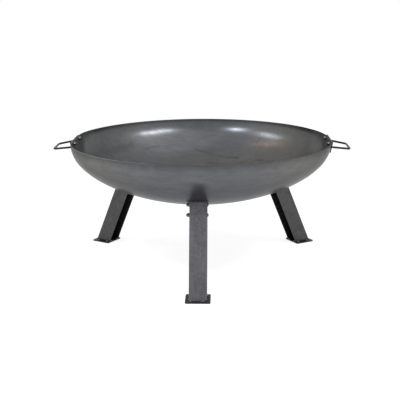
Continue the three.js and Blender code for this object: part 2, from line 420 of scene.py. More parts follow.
@dataclass
class Bowl:
    """The pressed steel bowl.

    Its wall is a superellipse of revolution, its bottom is a shallow dish, and a flat is pressed in
    the wall on each side for the handles.
    """

    rim_height: float = field(default_factory=lambda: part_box("bowl")[1].z)
    radius: float = field(default_factory=lambda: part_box("bowl")[1].y)
    flats: dict[str, float] = field(default_factory=lambda: {"right": 393 * MM, "left": 388.5 * MM})
    flat_lean: float = math.radians(12)
    flat_eased: float = 12 * MM  # how far inside its plane a flat's edge is eased
    flat_depth: float = 90 * MM  # how far down it is eased
    plate_space: tuple[float, float] = (72 * MM, 36 * MM)  # half width and depth that stay flat
    depth: float = 189 * MM
    dish_edge: float = 180 * MM
    wall: float = 2.5 * MM
    rim_power: float = 1.71
    drop_power: float = 2.0
    sides: int = 288
    rows: int = 60
    last_ring: float = 0.35  # how near the axis the last ring comes, in rows
    ring_slack: float = 0.01 * MM  # points this close in height are in one ring
    rim_round: float = 0.8 * MM
    bolt_span: float = 96 * MM
    bolt_drop: float = 8 * MM

    def wall_point(self, turn: float) -> Vector:
        """A point (radius, height) of the wall: turn is 0 at the rim and grows towards the axis.

        Args:
            turn: 0 at the rim, a quarter turn at the axis.

        Returns:
            The point.
        """
        radius = self.radius * math.cos(turn) ** (2 / self.rim_power)
        drop = self.depth * math.sin(turn) ** (2 / self.drop_power)
        return Vector((radius, self.rim_height - drop))

    def wall_normal(self, turn: float) -> Vector:
        """The direction that points square out of the wall at the same place.

        Args:
            turn: 0 at the rim, a quarter turn at the axis.

        Returns:
            The direction, as (radius, height).
        """
        nudge = 1e-5
        slope = self.wall_point(turn + nudge) - self.wall_point(turn - nudge)
        return Vector((-slope.y, slope.x)).normalized()

    def skin_point(self, turn: float, offset: float = 0.0) -> Vector:
        """A point (radius, height) at a distance outside the bowl's outer skin.

        Args:
            turn: 0 at the rim, a quarter turn at the axis.
            offset: the distance outside the skin.

        Returns:
            The point.
        """
        dish_turn = math.acos((self.dish_edge / self.radius) ** (self.rim_power / 2))
        if turn <= dish_turn:
            return self.wall_point(turn) + offset * self.wall_normal(turn)
        edge_normal = self.wall_normal(dish_turn)
        lean = math.atan2(edge_normal.x, -edge_normal.y)
        dish_radius = self.dish_edge / math.sin(lean)
        centre = self.wall_point(dish_turn).y + dish_radius * math.cos(lean)
        share = (QUARTER_TURN - turn) / (QUARTER_TURN - dish_turn)
        reach = dish_radius + offset
        return Vector((reach * math.sin(lean * share), centre - reach * math.cos(lean * share)))

    def skin(self, name: str, offset: float, sides: int, rows: int) -> Piece:
        """The bowl's outer skin as an open shell, drawn down from the rim ring by ring.

        Args:
            name: the new object's name.
            offset: distance outside the outer skin.
            sides: points round each ring.
            rows: rings from the rim to the axis.

        Returns:
            The shell.
        """
        last = self.skin_point(0.0, offset)
        shell = circle(name, sides, last.x, (0, 0, last.y), filled=False)
        with editing(shell, Kind.EDGES, everything=True):
            for row in range(1, rows + 1):
                here = self.skin_point(QUARTER_TURN * min(row, rows - self.last_ring) / rows, offset)
                extrude((0, 0, here.y - last.y))
                size = (here.x / last.x, here.x / last.x, 1)
                bpy.ops.transform.resize(value=size, center_override=(0, 0, here.y))
                last = here
            bpy.ops.mesh.edge_face_add()
            bpy.ops.mesh.poke()
        return shell

    def trimmer(self, gap: float) -> Piece:
        """All that lies inside the bowl's outer skin and a gap round it, as one closed body.

        Args:
            gap: how far it reaches outside the skin.

        Returns:
            The body.
        """
        body = self.skin("bowl_trimmer", gap, sides=144, rows=36)
        with editing(body, Kind.EDGES):
            pick(body, Kind.EDGES, lambda edge: edge.is_boundary)
            bpy.ops.mesh.edge_face_add()
        outward(body)
        return body

    def flat_face(self, name: str, height: float, offset: float = 0.0) -> float:
        """Distance from the axis to a handle's pressed flat, or to a face parallel to it.

        Args:
            name: the handle's name.
            height: the height above the ground.
            offset: how far outside the flat the face lies.

        Returns:
            The distance.
        """
        inwards = (self.rim_height - height) * math.tan(self.flat_lean)
        return self.flats[name] - inwards + offset / math.cos(self.flat_lean)

    def mount(self, name: str) -> Matrix:
        """A handle's flat: the origin is at the rim, +X points out and +Z up along it."""
        top = moved(self.flats[name], 0, self.rim_height)
        return turned(HANDLE_ANGLES[name]) @ top @ about_y(self.flat_lean)

    def press_flat(self, shell: Piece, name: str) -> None:
        """Presses one flat: every ring is pushed in to its plane, and its edge is eased.

        Args:
            shell: the bowl's outer skin.
            name: the handle's name.
        """
        side = math.copysign(1, self.mount(name).translation.x)

        def eased(point: bmesh.types.BMVert) -> bool:
            """Whether a point is round the flat, but not behind its plate.

            Args:
                point: the point.

            Returns:
                Whether it is.
            """
            spot = point.co
            low = self.rim_height - spot.z
            near = side * spot.x > self.flat_face(name, spot.z) - self.flat_eased
            behind = abs(spot.y) < self.plate_space[0] and low < self.plate_space[1]
            return near and low < self.flat_depth and not behind

        with editing(shell, Kind.POINTS):
            for row in range(self.rows):
                ring = self.skin_point(QUARTER_TURN * row / self.rows)
                face = self.flat_face(name, ring.y)
                if ring.x <= face:
                    break
                pick(
                    shell,
                    Kind.POINTS,
                    lambda point: abs(point.co.z - ring.y) < self.ring_slack
                    and side * point.co.x > face,
                )
                bpy.ops.transform.resize(value=(0, 1, 1), center_override=(side * face, 0, ring.y))
            pick(shell, Kind.POINTS, eased)
            bpy.ops.mesh.vertices_smooth(
                factor=0.5, repeat=14, xaxis=True, yaxis=False, zaxis=False
            )

    def drill(self, piece: Piece, name: str) -> None:
        """Drills the two bolt holes of one handle through a piece.

        Args:
            piece: the object to drill.
            name: the handle's name.
        """
        for end in (-1, 1):
            spot = self.mount(name) @ moved(0, end * self.bolt_span / 2, -self.bolt_drop)
            drill = cylinder("drill", 32, BOLT_HOLE, 8 * self.wall)
            cut(piece, placed(drill, spot @ about_y(QUARTER_TURN)))

    def build(self, finish: bpy.types.Material) -> None:
        """Models the bowl and gives it its finish.

        Args:
            finish: the bowl's material.
        """
        shell = self.skin("bowl_pressing", 0.0, self.sides, self.rows)
        for name in HANDLE_ANGLES:
            self.press_flat(shell, name)
        outward(shell)
        modified(shell, "SOLIDIFY", thickness=self.wall, offset=-1.0, use_even_offset=True)
        top = self.rim_height - 0.02 * MM
        bevel(
            shell,
            self.rim_round,
            3,
            lambda edge: sharp_edge(edge) and middle(edge).z > top and abs(along(edge).z) < ACROSS,
        )
        for name in HANDLE_ANGLES:
            self.drill(shell, name)
        smooth(shell)
        dressed(shell, finish, ["bowl"])


# ---------------------------------------------------------------- welds


@dataclass
class Weld:
    """A short bead of weld metal, laid in a row of ripples or in a ring of them."""

    width: float = 4.2 * MM
    height: float = 2.4 * MM
    pitch: float = 2.4 * MM
    grain: float = 0.4 * MM
    ripple: float = 0.85  # half the length of one ripple, in pitches
    lean_from: float = 0.3  # the share of the height above which a ripple leans
    lean: float = 0.25  # how far its top leans back, in pitches

    def bead(self, name: str, places: Sequence[Matrix]) -> Piece:
        """Flattened balls that lean a little, each laid over the last, run together into one lump.

        Args:
            name: the bead's name.
            places: the place of each ripple.

        Returns:
            The bead.
        """
        size = (self.ripple * self.pitch, self.width / 2, self.height)
        deselect()
        bpy.ops.mesh.primitive_uv_sphere_add(segments=20, ring_count=12, radius=1.0, scale=size)
        drop = fresh("weld_drop")
        with editing(drop, Kind.POINTS):
            pick(drop, Kind.POINTS, lambda point: point.co.z > self.lean_from * self.height)
            bpy.ops.transform.translate(value=(-self.lean * self.pitch, 0, 0))
        bead = joined(name, [copied(drop, f"{name}_{n}", place) for n, place in enumerate(places)])
        scrap(drop)
        modified(bead, "REMESH", mode="VOXEL", voxel_size=self.grain)
        modified(bead, "SMOOTH", factor=0.5, iterations=3)
        smooth(bead, 60)
        return bead

    def row(self, name: str, ripples: int) -> Piece:
        """A straight bead along X, centred on the origin, that rises to +Z."""
        start = -self.pitch * (ripples - 1) / 2
        return self.bead(name, [moved(start + n * self.pitch, 0, 0) for n in range(ripples)])

    def ring(self, name: str, radius: float, ripples: int) -> Piece:
        """A bead round the Z axis, for the foot of a round rod."""
        out = moved(0, radius, 0)
        return self.bead(name, [turned(360 * n / ripples) @ out for n in range(ripples)])


# ---------------------------------------------------------------- fasteners


@dataclass
class Fastener:
    """The M6 button-head bolt with its nut and washer. Each is modelled once and copied."""

    clamped: float  # the thickness between the head and the washer
    radius: float = 3.0 * MM
    pitch: float = 1.0 * MM
    thread_depth: float = 0.55 * MM
    threaded: float = 14.0 * MM
    head_radius: float = 5.25 * MM
    head_height: float = 3.3 * MM
    head_edge: float = 0.6 * MM
    socket_flats: float = 4.0 * MM
    socket_depth: float = 2.0 * MM
    nut_flats: float = 10.0 * MM
    nut_height: float = 5.0 * MM
    washer_radius: float = 6.0 * MM
    washer_thick: float = 1.6 * MM
    nut_chamfer: float = 0.8 * MM
    washer_round: float = 0.25 * MM
    tip: float = 0.3 * MM
    hole: float = 3.2 * MM
    thread_beyond_nut: float = 2.6 * MM

    def head(self) -> Piece:
        """The domed head with its hexagon socket, resting on z = 0.

        Returns:
            The head.
        """
        head = cylinder("bolt_head", 40, self.head_radius, self.head_edge, self.head_edge / 2)
        dome = self.head_height - self.head_edge
        steps = 7
        flat_top = 0.6  # the share of a step that is left level
        with editing(head, Kind.FACES):
            pick(head, Kind.FACES, lambda face: face.normal.z > ALONG)
            radius, height = self.head_radius, 0.0
            for step in range(1, steps + 1):
                lean = QUARTER_TURN * step / (steps + flat_top)
                rise = dome * math.sin(lean)
                extrude((0, 0, rise - height))
                shrink = self.head_radius * math.cos(lean) / radius
                bpy.ops.transform.resize(value=(shrink, shrink, 1))
                radius, height = radius * shrink, rise
        across = self.socket_flats / math.sqrt(3)
        cut(head, cylinder("hex_key", 6, across, 2 * self.socket_depth, self.head_height))
        return head

    def shank(self, length: float) -> Piece:
        """The bolt's shank, from just inside the head down, with a cut thread at its end.

        Args:
            length: how far it reaches below z = 0.

        Returns:
            The shank.
        """
        plain = max(length - self.threaded, 0.5 * self.threaded)
        shank = circle("bolt_shank", 24, self.radius, (0, 0, self.head_edge))
        crests = int((length - plain) / self.pitch)
        root = (self.radius - self.thread_depth) / self.radius
        with editing(shank, Kind.FACES, everything=True):
            extrude((0, 0, -plain - self.head_edge))
            for _ in range(crests):
                for scale in (root, 1 / root):
                    extrude((0, 0, -self.pitch / 2))
                    bpy.ops.transform.resize(value=(scale, scale, 1))
            rest = length - plain - crests * self.pitch
            extrude((0, 0, -max(rest, self.tip)))
            bpy.ops.transform.resize(value=(root, root, 1))
        outward(shank)
        return shank

    def bolt(self) -> Piece:
        """The bolt, along Z with its head resting on the gap above z = 0.

        Returns:
            The bolt.
        """
        gaps = 3 * FIT_GAP
        length = self.clamped + gaps + self.washer_thick + self.nut_height + self.thread_beyond_nut
        bolt = joined("pattern_bolt", [self.head(), self.shank(length)])
        placed(bolt, moved(0, 0, FIT_GAP))
        outward(bolt)
        smooth(bolt, 40)
        return bolt

    def nut(self) -> Piece:
        """A hexagon nut from z = 0 up, with its corners turned off at both ends.

        Returns:
            The nut.
        """
        corner = self.nut_flats / math.sqrt(3)
        nut = cylinder("pattern_nut", 6, corner, self.nut_height, self.nut_height / 2)
        blank = cylinder("turned_blank", 48, 1.01 * corner, self.nut_height, self.nut_height / 2)
        with editing(blank, Kind.EDGES):
            pick(blank, Kind.EDGES, sharp_edge)
            bpy.ops.mesh.bevel(offset=self.nut_chamfer, segments=1, affect="EDGES")
        cut(nut, blank, Keep.INSIDE)
        self.bore(nut)
        smooth(nut, 25)
        return nut

    def washer(self) -> Piece:
        """A plain washer from z = 0 up, with its stamped edge rounded over.

        Returns:
            The washer.
        """
        thick = self.washer_thick
        washer = cylinder("pattern_washer", 48, self.washer_radius, thick, thick / 2)
        self.bore(washer)
        bevel(
            washer,
            self.washer_round,
            2,
            lambda edge: sharp_edge(edge) and abs(along(edge).z) < ACROSS,
        )
        smooth(washer)
        return washer

    def bore(self, piece: Piece) -> None:
        """Bores a piece along Z for the bolt."""
        cut(piece, cylinder("drill", 32, self.hole, 8 * self.nut_height))

    def patterns(self) -> dict[str, Piece]:
        """A bolt, washer and nut in their places along Z, by the last word of their names.

        Returns:
            The three pieces, to be copied.
        """
        washer_face = -self.clamped - FIT_GAP - self.washer_thick
        nut_face = washer_face - FIT_GAP - self.nut_height
        return {
            "bolt": self.bolt(),
            "washer": placed(self.washer(), moved(0, 0, washer_face)),
            "nut": placed(self.nut(), moved(0, 0, nut_face)),
        }


def fit_bolts(
    patterns: dict[str, Piece], joint: str, place: Matrix, finish: bpy.types.Material
) -> None:
    """Copies a bolt, washer and nut into one joint.

    Args:
        patterns: the pieces to copy, by the last word of their names.
        joint: the joint's name, which the CAD nodes' names start with.
        place: the joint's place: +Z points out of the bolt's head.
        finish: the fasteners' material.
    """
    for word, pattern in patterns.items():
        fitted = copied(pattern, f"{word}_of_{joint}", place)
        smooth(fitted, 35)
        dressed(fitted, finish, [f"{joint}_{word}"])


# ---------------------------------------------------------------- legs


@dataclass
class Legs:
    """The three channel legs with their foot plates, welds, brackets and cross bolts.

    Each leg is modelled pointing to +X and then turned into its place.
    """

    bowl: Bowl
    angles: dict[str, float] = field(default_factory=lambda: {"front": -90, "right": 30, "left": 150})
    width: float = 50 * MM
    wall: float = 3 * MM
    corner: float = 5 * MM
    splay: float = math.radians(24.2)
    foot_radius: float = 376 * MM
    spare: float = 30 * MM
    length: float = 272 * MM
    plate_thick: float = 4 * MM
    plate_wide: float = 70 * MM
    plate_long: float = 66 * MM
    plate_radius: float = 377.5 * MM
    plate_chamfer: float = 3 * MM
    plate_round: float = 0.4 * MM
    tack_lean: float = math.radians(45)
    bowl_gap: float = 0.8 * MM
    bolt_heights: dict[str, float] = field(
        default_factory=lambda: {"upper": 241 * MM, "lower": 214.5 * MM}
    )

    @property
    def floor(self) -> float:
        """The height that a leg starts at, just above its plate."""
        return self.plate_thick + FIT_GAP

    def middle_line(self, height: float) -> float:
        """The radius of the leg's middle line at a height."""
        return self.foot_radius - height * math.tan(self.splay)

    def channel(self) -> Piece:
        """A leg: folded channel, open towards the bowl's axis, cut to the plate and the bowl.

        Returns:
            The leg, pointing to +X.
        """
        size = (self.width, self.width, self.length + 2 * self.spare)
        channel = block("pattern_channel", (0, 0, self.length / 2), size)
        with editing(channel, Kind.FACES):
            pick(
                channel,
                Kind.FACES,
                lambda face: abs(face.normal.z) > ALONG or face.normal.x < -ALONG,
            )
            bpy.ops.mesh.delete(type="ONLY_FACE")
        bevel(
            channel,
            self.corner,
            6,
            lambda edge: abs(along(edge).z) > ALONG and middle(edge).x > 0,
        )
        modified(channel, "SOLIDIFY", thickness=self.wall, offset=-1.0, use_even_offset=True)
        placed(channel, moved(self.foot_radius, 0, 0) @ about_y(-self.splay))
        trim(channel, (0, 0, self.floor), (0, 0, 1))
        cut(channel, self.bowl.trimmer(self.bowl_gap))
        for height in self.bolt_heights.values():
            spot = moved(self.middle_line(height), 0, height) @ about_x(QUARTER_TURN)
            cut(channel, placed(cylinder("drill", 32, BOLT_HOLE, 2 * self.width), spot))
        smooth(channel)
        return channel

    def plate(self) -> Piece:
        """A foot plate with clipped corners and its sheared edges eased.

        Returns:
            The plate, under a leg that points to +X.
        """
        centre = (self.plate_radius, 0, self.plate_thick / 2)
        plate = block("pattern_plate", centre, (self.plate_long, self.plate_wide, self.plate_thick))
        bevel(plate, self.plate_chamfer, 1, lambda edge: abs(along(edge).z) > ALONG)
        bevel(plate, self.plate_round, 2, lambda edge: abs(along(edge).z) < ACROSS)
        smooth(plate, 20)
        return plate

    def foot_welds(self) -> Piece:
        """The tack welds that hold the leg to its plate, near the corners of the channel.

        Returns:
            The welds of one foot, as one object.
        """
        half = self.width / 2
        slant = half / math.cos(self.splay)
        # Each tack: shares of the slant and of the half width, its turn and its ripples.
        tacks = (
            (1, 0.55, 90, 4),
            (1, -0.78, 90, 2),
            (-1, 0.6, -90, 3),
            (-1, -0.6, -90, 3),
            (-0.66, 1, 180, 3),
            (0.6, 1, 180, 2),
            (-0.66, -1, 0, 3),
            (0.6, -1, 0, 2),
        )
        lay_over = about_x(self.tack_lean)
        beads = []
        for n, (out, across, turn, ripples) in enumerate(tacks):
            spot = moved(self.middle_line(self.floor) + out * slant, across * half, self.floor)
            bead = Weld().row(f"tack_{n}", ripples)
            beads.append(placed(bead, spot @ turned(turn) @ lay_over))
        return joined("pattern_foot_welds", beads)

    def build(self, finishes: "Finishes") -> None:
        """Models the legs and puts them in their places, with the finishes given.

        Args:
            finishes: the materials.
        """
        bolts = Fastener(self.width).patterns()
        channel, plate, welds = self.channel(), self.plate(), self.foot_welds()
        for name, angle in self.angles.items():
            turn = turned(angle)
            leg = copied(channel, f"channel_leg_{name}", turn)
            smooth(leg)
            dressed(leg, finishes.leg(angle, self.splay), [f"leg_{name}"])
            foot = copied(plate, f"foot_{name}", turn)
            smooth(foot, 20)
            dressed(foot, finishes.plate, [f"foot_plate_{name}"])
            dressed(copied(welds, f"foot_welds_{name}", turn), finishes.weld)
            for level, height in self.bolt_heights.items():
                side = moved(self.middle_line(height), self.width / 2, height)
                place = turn @ side @ about_x(-QUARTER_TURN)
                fit_bolts(bolts, f"leg_{name}_{level}", place, finishes.zinc)
            coated(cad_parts[f"leg_bracket_{name}"], finishes.plate)
        scrap(channel, plate, welds, *bolts.values())


# ---------------------------------------------------------------- handles


@dataclass
class Handles:
    """The two rod handles, each welded to a plate that is bolted to the bowl's flat."""

    bowl: Bowl
    rod_radius: float = 3.25 * MM
    reach: dict[str, float] = field(default_factory=lambda: {"right": 451 * MM, "left": 446 * MM})
    root_span: float = 128 * MM
    grip_span: float = 86 * MM
    root_drop: float = 13.6 * MM
    grip_drop: float = 23.3 * MM
    bend_start: float = 10 * MM
    plate_wide: float = 140 * MM
    plate_tall: float = 33 * MM
    plate_thick: float = 3 * MM
    plate_corner: float = 3 * MM
    plate_round: float = 0.35 * MM
    weld_out: float = 0.8 * MM  # from the rod's skin to the middle of its weld
    weld_ripples: int = 11
    rises: dict[str, float] = field(default_factory=lambda: {"right": 2 * MM, "left": 1 * MM})
    rod_sides: int = 24
    bend_steps: int = 12

    @property
    def plate_face(self) -> float:
        """Distance from a flat to the outer face of the plate on it."""
        return FIT_GAP + self.plate_thick

    @property
    def inside(self) -> float:
        """How far behind the plate's face the rod is started, before it is trimmed."""
        return 2 * self.plate_thick

    def grip(self, name: str) -> Vector:
        """The corner where the rod's two straights would meet, for a handle at +X."""
        return Vector((self.reach[name], self.grip_span / 2, self.bowl.rim_height - self.grip_drop))

    def root_and_way(self, name: str) -> tuple[Vector, Vector]:
        """Where the rod's middle line leaves the plate, and the way it goes, for a handle at +X.

        Args:
            name: the handle's name.

        Returns:
            The point on the plate's outer face and the direction.
        """
        height = self.bowl.rim_height - self.root_drop
        start = self.bowl.flat_face(name, height, self.plate_face) - self.inside
        root = Vector((start, self.root_span / 2, height))
        out = (self.grip(name) - root).normalized()
        return root + out * (self.inside / out.x), out

    def rod(self, name: str) -> Piece:
        """The rod: a round section drawn out from one root, bent twice and drawn back.

        Args:
            name: the handle's name.

        Returns:
            The rod, in its place.
        """
        root, out = self.root_and_way(name)
        root = root - out * self.inside
        across = Vector((0, -1, 0))
        turn = out.angle(across)
        axis = out.cross(across).normalized()
        before = self.grip(name) - out * self.bend_start
        bend_radius = self.bend_start / math.tan(turn / 2)
        centre = before + axis.cross(out).normalized() * bend_radius
        other_centre = centre * Vector((1, -1, 1))
        back = Vector((-out.x, out.y, -out.z)) * (before - root).length

        def bend(middle_of_bend: Vector) -> None:
            """Draws the section round one bend."""
            bpy.ops.mesh.spin(steps=self.bend_steps, angle=-turn, center=middle_of_bend, axis=axis)

        square = out.to_track_quat("Z", "Y").to_euler()
        rod = circle(
            f"rod_handle_{name}", self.rod_sides, self.rod_radius, root, rotation=square
        )
        with editing(rod, Kind.FACES, everything=True):
            extrude(before - root)
            bend(centre)
            extrude((0, 2 * self.bend_start - self.grip_span, 0))
            bend(other_centre)
            extrude(back)
        outward(rod)
        mount = turned(-HANDLE_ANGLES[name]) @ self.bowl.mount(name)
        face = mount @ moved(self.plate_face + FIT_GAP, 0, 0)
        trim(rod, face.translation, face.to_3x3() @ Vector((1, 0, 0)))
        placed(rod, turned(HANDLE_ANGLES[name]))
        smooth(rod)
        return rod

    def plate(self, name: str) -> Piece:
        """A handle plate: flat bar with rounded corners, drilled for its two bolts.

        Args:
            name: the handle's name.

        Returns:
            The plate, in its place.
        """
        centre = (FIT_GAP + self.plate_thick / 2, 0, self.rises[name] - self.plate_tall / 2)
        size = (self.plate_thick, self.plate_wide, self.plate_tall)
        plate = block(f"plate_of_handle_{name}", centre, size)
        bevel(plate, self.plate_corner, 5, lambda edge: abs(along(edge).x) > ALONG)
        bevel(plate, self.plate_round, 2, lambda edge: abs(along(edge).x) < ACROSS)
        placed(plate, self.bowl.mount(name))
        self.bowl.drill(plate, name)
        smooth(plate, 25)
        return plate

    def root_welds(self, name: str) -> Piece:
        """The ring of weld round each root of the rod.

        Args:
            name: the handle's name.

        Returns:
            Both rings, as one object.
        """
        weld = Weld(width=2.6 * MM, height=1.7 * MM, pitch=2.0 * MM, grain=0.35 * MM)
        root, _ = self.root_and_way(name)
        lay = about_y(QUARTER_TURN + self.bowl.flat_lean)
        rings = []
        for side in (-1, 1):
            ring = weld.ring(f"ring_{side}", self.rod_radius + self.weld_out, self.weld_ripples)
            rings.append(placed(ring, moved(root.x, side * root.y, root.z) @ lay))
        return placed(joined(f"root_welds_{name}", rings), turned(HANDLE_ANGLES[name]))

    def build(self, finishes: "Finishes") -> None:
        """Models both handles and puts them in their places, with the finishes given.

        Args:
            finishes: the materials.
        """
        bolts = Fastener(self.plate_thick + FIT_GAP + self.bowl.wall).patterns()
        for name, angle in HANDLE_ANGLES.items():
            dressed(self.rod(name), finishes.rod, [f"handle_{name}_rod"])
            dressed(self.root_welds(name), finishes.weld)
            dressed(self.plate(name), finishes.bar, [f"handle_{name}_plate"])
            towards_back = math.cos(math.radians(angle))
            for end, side in {"front": -towards_back, "back": towards_back}.items():
                across = side * self.bowl.bolt_span / 2
                spot = moved(self.plate_face, across, -self.bowl.bolt_drop)
                place = self.bowl.mount(name) @ spot @ about_y(QUARTER_TURN)
                fit_bolts(bolts, f"handle_{name}_{end}", place, finishes.zinc)
        scrap(*bolts.values())


# ---------------------------------------------------------------- node trees


class Tree:
    """Writes a node tree. Most methods add one node and give back its output."""

    def __init__(self, tree: bpy.types.NodeTree) -> None:
        """Starts writing in a material's, world's or group's empty tree."""
        self.tree = tree

    @classmethod
    def of(cls, owner: bpy.types.Material | bpy.types.World) -> "Tree":
        """The emptied tree of a material or world.

        Args:
            owner: the material or world.

        Returns:
            A writer for the tree.
        """
        owner.use_nodes = True
        owner.node_tree.nodes.clear()
        return cls(owner.node_tree)

    def feed(self, socket: Socket, value: Feed) -> None:
        """Links an output to an input, or sets the input to a constant.

        Args:
            socket: the input.
            value: an output to link, or a constant.
        """
        if isinstance(value, Socket):
            self.tree.links.new(value, socket)
        else:
            socket.default_value = value

    def add(
        self, kind: str, feeds: dict[str | int, Feed] | None = None, **settings: object
    ) -> bpy.types.Node:
        """Adds a node.

        Args:
            kind: the node's type.
            feeds: what goes into its inputs: an output to link, or a constant.
            settings: the node's own settings.

        Returns:
            The node.
        """
        node = self.tree.nodes.new(kind)
        for setting, value in settings.items():
            setattr(node, setting, value)
        for key, value in (feeds or {}).items():
            self.feed(node.inputs[key], value)
        return node

    def effect(self, group: bpy.types.NodeTree, **feeds: Feed) -> Given:
        """Adds a shared effect and gives back its outputs."""
        return self.add("ShaderNodeGroup", feeds, node_tree=group).outputs

    def math(self, operation: str, *feeds: Feed, clamp: bool = False) -> Socket:
        """Arithmetic on one, two or three values."""
        feeds = dict(enumerate(feeds))
        return self.add("ShaderNodeMath", feeds, operation=operation, use_clamp=clamp).outputs[0]

    def times(self, first: Feed, second: Feed) -> Socket:
        """Two values multiplied."""
        return self.math("MULTIPLY", first, second)

    def line(self, value: Feed, slope: Feed, start: Feed, clamp: bool = False) -> Socket:
        """A value times a slope, plus a start."""
        return self.math("MULTIPLY_ADD", value, slope, start, clamp=clamp)

    def vector(self, operation: str, *feeds: Feed) -> Socket:
        """Vector arithmetic. The result is the vector, or the value where there is only that."""
        outputs = self.add("ShaderNodeVectorMath", dict(enumerate(feeds)), operation=operation).outputs
        return outputs["Value" if operation in ("DOT_PRODUCT", "DISTANCE") else "Vector"]

    def scaled(self, vector: Feed, scale: Feed) -> Socket:
        """A vector times a value."""
        feeds = {0: vector, "Scale": scale}
        return self.add("ShaderNodeVectorMath", feeds, operation="SCALE").outputs[0]

    def ramp(
        self, value: Feed, start: Feed, end: Feed, low: Feed = 0.0, high: Feed = 1.0
    ) -> Socket:
        """A smooth step from low to high as a value goes from start to end."""
        feeds = {"Value": value, "From Min": start, "From Max": end, "To Min": low, "To Max": high}
        return self.add("ShaderNodeMapRange", feeds, interpolation_type="SMOOTHSTEP").outputs[0]

    def both_ways(self, value: Feed, *ramp: Feed) -> Socket:
        """A smooth step as a value's size goes from start to end, on either side of 0."""
        return self.ramp(self.math("ABSOLUTE", value), *ramp)

    def noise(
        self, place: Feed, scale: Feed, detail: float = 3.0, distortion: float = 0.0
    ) -> Socket:
        """Noise between 0 and 1."""
        feeds = {"Vector": place, "Scale": scale, "Detail": detail, "Distortion": distortion}
        return self.add("ShaderNodeTexNoise", feeds).outputs[0]

    def mixed(self, share: Feed, first: Feed, second: Feed) -> Socket:
        """Two colours mixed.

        Args:
            share: the share of the second colour.
            first: a colour.
            second: the other colour.

        Returns:
            The mixed colour.
        """
        node = self.add("ShaderNodeMix", data_type="RGBA")
        inputs = {socket.identifier: socket for socket in node.inputs}
        self.feed(inputs["Factor_Float"], share)
        for key, colour in (("A_Color", first), ("B_Color", second)):
            self.feed(inputs[key], colour if isinstance(colour, Socket) else (*colour, 1.0))
        return next(socket for socket in node.outputs if socket.identifier == "Result_Color")

    def place(self) -> Socket:
        """Object coordinates, in metres, which are the same as the world's for every piece."""
        return self.add("ShaderNodeTexCoord").outputs["Object"]

    def apart(self, vector: Feed) -> tuple[Socket, ...]:
        """The X, Y and Z of a vector."""
        return tuple(self.add("ShaderNodeSeparateXYZ", {0: vector}).outputs)

    def seen(self) -> Socket:
        """1 for the rays of the camera, of reflections and of glass, and 0 for the rest.

        Returns:
            The value.
        """
        rays = self.add("ShaderNodeLightPath").outputs
        seen = self.math("MAXIMUM", rays["Is Camera Ray"], rays["Is Glossy Ray"])
        return self.math("MAXIMUM", seen, rays["Is Transmission Ray"])


class Effect:
    """A shared effect: a node group with named inputs and outputs that only makes masks and tones."""

    name = "effect"
    inputs: dict[str, float | Triple] = {}
    outputs: tuple[str, ...] = ("Mask",)

    def build(self) -> bpy.types.NodeTree:
        """Builds the group.

        Returns:
            The group.
        """
        group = bpy.data.node_groups.new(self.name, "ShaderNodeTree")
        for name, default in self.inputs.items():
            kind = "NodeSocketVector" if isinstance(default, tuple) else "NodeSocketFloat"
            entry = group.interface.new_socket(name=name, in_out="INPUT", socket_type=kind)
            entry.default_value = default
        for name in self.outputs:
            group.interface.new_socket(name=name, in_out="OUTPUT", socket_type="NodeSocketFloat")
        tree = Tree(group)
        results = self.write(tree, tree.add("NodeGroupInput").outputs)
        tree.add("NodeGroupOutput", dict(zip(self.outputs, results, strict=True)))
        return group

    def write(self, tree: Tree, given: Given) -> tuple[Feed, ...]:
        """Writes the group's nodes.

        Args:
            tree: the group's tree.
            given: the group's inputs.

        Returns:
            The outputs, in their order.
        """
        raise NotImplementedError


class CloudyOil(Effect):
    """Cloudy smudges of a thin oil film, wiped about by hand."""

    name = "cloudy_oil"
    inputs = {"Size": 0.1, "Offset": (0.0, 0.0, 0.0)}
    outputs = ("Cloud", "Smear")

    def write(self, tree: Tree, given: Given) -> tuple[Feed, ...]:
        """Writes two sizes of cloud, and smears that are pulled round the upright axis.

        Args:
            tree: the group's tree.
            given: the group's inputs.

        Returns:
            The cloud and the smear.
        """
        place = tree.vector("ADD", tree.place(), given["Offset"])
        scale = tree.math("DIVIDE", 1.0, given["Size"])
        broad = tree.noise(place, scale, detail=3.0, distortion=0.9)
        close = tree.noise(place, tree.times(scale, 3.3), detail=3.0, distortion=1.2)
        cloud = tree.math("ADD", tree.times(broad, 0.62), tree.times(close, 0.38))
        pulled = tree.vector("MULTIPLY", place, (1.0, 2.6, 2.6))
        swirl = tree.noise(pulled, tree.times(scale, 2.0), detail=2.5, distortion=1.6)
        return tree.ramp(cloud, 0.34, 0.68), tree.ramp(swirl, 0.34, 0.7)


class FineGrain(Effect):
    """The fine grain that the mill rolls leave, drawn out along an axis."""

    name = "fine_grain"
    inputs = {"Axis": (0.0, 0.0, 1.0), "Stretch": 0.9, "Scale": 900.0}
    outputs = ("Tone", "Height")

    def write(self, tree: Tree, given: Given) -> tuple[Feed, ...]:
        """Writes a coarse and a fine grain over coordinates that are squeezed along the axis.

        Args:
            tree: the group's tree.
            given: the group's inputs.

        Returns:
            The tone and the height.
        """
        place = tree.place()
        length = tree.vector("DOT_PRODUCT", place, given["Axis"])
        squeezed = tree.scaled(given["Axis"], tree.times(length, given["Stretch"]))
        place = tree.vector("SUBTRACT", place, squeezed)
        fine = tree.noise(place, given["Scale"], detail=3.0)
        coarse = tree.noise(place, tree.times(given["Scale"], 0.22), detail=4.0, distortion=0.4)
        tone = tree.math("ADD", tree.times(fine, 0.45), tree.times(coarse, 0.55))
        return tree.ramp(tone, 0.33, 0.67), fine


